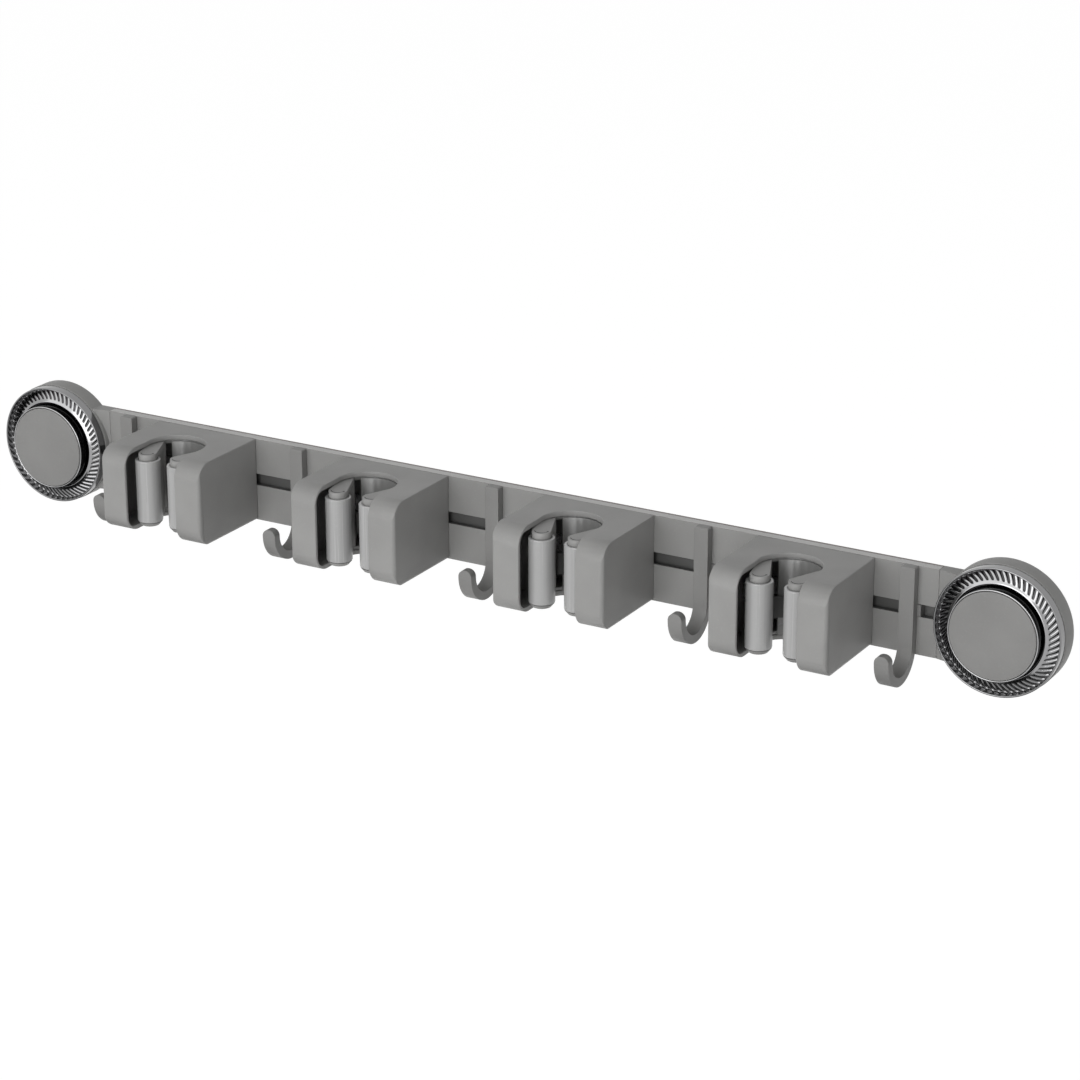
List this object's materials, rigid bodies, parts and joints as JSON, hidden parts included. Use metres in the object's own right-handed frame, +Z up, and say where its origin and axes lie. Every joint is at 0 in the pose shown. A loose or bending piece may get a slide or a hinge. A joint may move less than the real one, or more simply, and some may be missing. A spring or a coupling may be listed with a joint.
{
  "type": "wall mounted handle rack",
  "caption": "Slotted wall rail with sliding clips whose sprung roller jaws grip upright handles, sliding J hooks between them and a twist-lock suction mount at each end.",
  "frame": {"origin": "the wall plane, at the middle of the rail's length and height", "axes": "+X along the rail to the right as seen from the room, +Y into the wall, +Z up"},
  "size_m": [0.6834, 0.0702, 0.0725],
  "materials": {
    "rail": "fine matt",
    "plastic": "fine matt",
    "core": "matt",
    "jaw": "fine matt",
    "roller": "satin",
    "band": "matt",
    "plated": "dark chrome plated",
    "steel": "bright",
    "pad": "soft, cloudy"
  },
  "bodies": {
    "rack": {"rail": "rail", "mount_body_left": "plastic", "mount_body_right": "plastic", "suction_pad_left": "pad", "suction_pad_right": "pad"},
    "knob_left": {"knob_ring_left": "plated", "knob_disc_left": "plastic"},
    "stud_left": {"pull_stud_left": "steel"},
    "knob_right": {"knob_ring_right": "plated", "knob_disc_right": "plastic"},
    "stud_right": {"pull_stud_right": "steel"},
    "hook_1": {"hook_1": "plastic"},
    "hook_2": {"hook_2": "plastic"},
    "hook_3": {"hook_3": "plastic"},
    "hook_4": {"hook_4": "plastic"},
    "hook_5": {"hook_5": "plastic"},
    "clip_1": {"housing_1": "plastic", "core_1": "core", "band_1": "band", "leaf_spring_1": "steel", "pivot_pin_left_1": "steel", "pivot_pin_right_1": "steel"},
    "jaw_left_1": {"jaw_left_1": "jaw"},
    "roller_left_1": {"roller_left_1": "roller"},
    "jaw_right_1": {"jaw_right_1": "jaw"},
    "roller_right_1": {"roller_right_1": "roller"},
    "clip_2": {"housing_2": "plastic", "core_2": "core", "band_2": "band", "leaf_spring_2": "steel", "pivot_pin_left_2": "steel", "pivot_pin_right_2": "steel"},
    "jaw_left_2": {"jaw_left_2": "jaw"},
    "roller_left_2": {"roller_left_2": "roller"},
    "jaw_right_2": {"jaw_right_2": "jaw"},
    "roller_right_2": {"roller_right_2": "roller"},
    "clip_3": {"housing_3": "plastic", "core_3": "core", "band_3": "band", "leaf_spring_3": "steel", "pivot_pin_left_3": "steel", "pivot_pin_right_3": "steel"},
    "jaw_left_3": {"jaw_left_3": "jaw"},
    "roller_left_3": {"roller_left_3": "roller"},
    "jaw_right_3": {"jaw_right_3": "jaw"},
    "roller_right_3": {"roller_right_3": "roller"},
    "clip_4": {"housing_4": "plastic", "core_4": "core", "band_4": "band", "leaf_spring_4": "steel", "pivot_pin_left_4": "steel", "pivot_pin_right_4": "steel"},
    "jaw_left_4": {"jaw_left_4": "jaw"},
    "roller_left_4": {"roller_left_4": "roller"},
    "jaw_right_4": {"jaw_right_4": "jaw"},
    "roller_right_4": {"roller_right_4": "roller"}
  },
  "joints": [
    {"name": "knob_turn_left", "type": "hinge", "parent": "rack", "child": "knob_left", "pos_m": [-0.30573, -0.021, 0], "axis": [0, -1, 0], "range_deg": [0, 90]},
    {"name": "stud_slide_left", "type": "slide", "parent": "rack", "child": "stud_left", "axis": [0, 1, 0], "range_m": [0, 0.001]},
    {"name": "knob_turn_right", "type": "hinge", "parent": "rack", "child": "knob_right", "pos_m": [0.30573, -0.021, 0], "axis": [0, -1, 0], "range_deg": [0, 90]},
    {"name": "stud_slide_right", "type": "slide", "parent": "rack", "child": "stud_right", "axis": [0, 1, 0], "range_m": [0, 0.001]},
    {"name": "hook_slide_1", "type": "slide", "parent": "rack", "child": "hook_1", "axis": [1, 0, 0], "range_m": [-0.004, 0.007]},
    {"name": "hook_slide_2", "type": "slide", "parent": "rack", "child": "hook_2", "axis": [1, 0, 0], "range_m": [-0.012, 0.012]},
    {"name": "hook_slide_3", "type": "slide", "parent": "rack", "child": "hook_3", "axis": [1, 0, 0], "range_m": [-0.012, 0.012]},
    {"name": "hook_slide_4", "type": "slide", "parent": "rack", "child": "hook_4", "axis": [1, 0, 0], "range_m": [-0.012, 0.012]},
    {"name": "hook_slide_5", "type": "slide", "parent": "rack", "child": "hook_5", "axis": [1, 0, 0], "range_m": [-0.007, 0.004]},
    {"name": "clip_slide_1", "type": "slide", "parent": "rack", "child": "clip_1", "axis": [1, 0, 0], "range_m": [-0.007, 0.012]},
    {"name": "jaw_swing_left_1", "type": "hinge", "parent": "clip_1", "child": "jaw_left_1", "pos_m": [-0.21598, -0.0335, 0], "axis": [0, 0, -1], "range_deg": [0, 30], "stiffness_Nm_per_rad": 0.25, "springref_deg": -20.05, "deforming": ["leaf_spring_1"]},
    {"name": "roller_spin_left_1", "type": "hinge", "parent": "jaw_left_1", "child": "roller_left_1", "pos_m": [-0.20867, -0.05585, 0], "axis": [0, 0, 1], "continuous": true},
    {"name": "jaw_swing_right_1", "type": "hinge", "parent": "clip_1", "child": "jaw_right_1", "pos_m": [-0.17897, -0.0335, 0], "axis": [0, 0, 1], "range_deg": [0, 30], "stiffness_Nm_per_rad": 0.25, "springref_deg": -20.05, "deforming": ["leaf_spring_1"]},
    {"name": "roller_spin_right_1", "type": "hinge", "parent": "jaw_right_1", "child": "roller_right_1", "pos_m": [-0.18627, -0.05585, 0], "axis": [0, 0, 1], "continuous": true},
    {"name": "clip_slide_2", "type": "slide", "parent": "rack", "child": "clip_2", "axis": [1, 0, 0], "range_m": [-0.012, 0.012]},
    {"name": "jaw_swing_left_2", "type": "hinge", "parent": "clip_2", "child": "jaw_left_2", "pos_m": [-0.08432, -0.0335, 0], "axis": [0, 0, -1], "range_deg": [0, 30], "stiffness_Nm_per_rad": 0.25, "springref_deg": -20.05, "deforming": ["leaf_spring_2"]},
    {"name": "roller_spin_left_2", "type": "hinge", "parent": "jaw_left_2", "child": "roller_left_2", "pos_m": [-0.07702, -0.05585, 0], "axis": [0, 0, 1], "continuous": true},
    {"name": "jaw_swing_right_2", "type": "hinge", "parent": "clip_2", "child": "jaw_right_2", "pos_m": [-0.04732, -0.0335, 0], "axis": [0, 0, 1], "range_deg": [0, 30], "stiffness_Nm_per_rad": 0.25, "springref_deg": -20.05, "deforming": ["leaf_spring_2"]},
    {"name": "roller_spin_right_2", "type": "hinge", "parent": "jaw_right_2", "child": "roller_right_2", "pos_m": [-0.05462, -0.05585, 0], "axis": [0, 0, 1], "continuous": true},
    {"name": "clip_slide_3", "type": "slide", "parent": "rack", "child": "clip_3", "axis": [1, 0, 0], "range_m": [-0.012, 0.012]},
    {"name": "jaw_swing_left_3", "type": "hinge", "parent": "clip_3", "child": "jaw_left_3", "pos_m": [0.04732, -0.0335, 0], "axis": [0, 0, -1], "range_deg": [0, 30], "stiffness_Nm_per_rad": 0.25, "springref_deg": -20.05, "deforming": ["leaf_spring_3"]},
    {"name": "roller_spin_left_3", "type": "hinge", "parent": "jaw_left_3", "child": "roller_left_3", "pos_m": [0.05462, -0.05585, 0], "axis": [0, 0, 1], "continuous": true},
    {"name": "jaw_swing_right_3", "type": "hinge", "parent": "clip_3", "child": "jaw_right_3", "pos_m": [0.08432, -0.0335, 0], "axis": [0, 0, 1], "range_deg": [0, 30], "stiffness_Nm_per_rad": 0.25, "springref_deg": -20.05, "deforming": ["leaf_spring_3"]},
    {"name": "roller_spin_right_3", "type": "hinge", "parent": "jaw_right_3", "child": "roller_right_3", "pos_m": [0.07702, -0.05585, 0], "axis": [0, 0, 1], "continuous": true},
    {"name": "clip_slide_4", "type": "slide", "parent": "rack", "child": "clip_4", "axis": [1, 0, 0], "range_m": [-0.012, 0.007]},
    {"name": "jaw_swing_left_4", "type": "hinge", "parent": "clip_4", "child": "jaw_left_4", "pos_m": [0.17897, -0.0335, 0], "axis": [0, 0, -1], "range_deg": [0, 30], "stiffness_Nm_per_rad": 0.25, "springref_deg": -20.05, "deforming": ["leaf_spring_4"]},
    {"name": "roller_spin_left_4", "type": "hinge", "parent": "jaw_left_4", "child": "roller_left_4", "pos_m": [0.18627, -0.05585, 0], "axis": [0, 0, 1], "continuous": true},
    {"name": "jaw_swing_right_4", "type": "hinge", "parent": "clip_4", "child": "jaw_right_4", "pos_m": [0.21598, -0.0335, 0], "axis": [0, 0, 1], "range_deg": [0, 30], "stiffness_Nm_per_rad": 0.25, "springref_deg": -20.05, "deforming": ["leaf_spring_4"]},
    {"name": "roller_spin_right_4", "type": "hinge", "parent": "jaw_right_4", "child": "roller_right_4", "pos_m": [0.20867, -0.05585, 0], "axis": [0, 0, 1], "continuous": true}
  ],
  "couplings": [
    {"joint": "stud_slide_left", "follows": "knob_turn_left", "m_per_rad": 0.000636},
    {"joint": "stud_slide_right", "follows": "knob_turn_right", "m_per_rad": 0.000636}
  ]
}
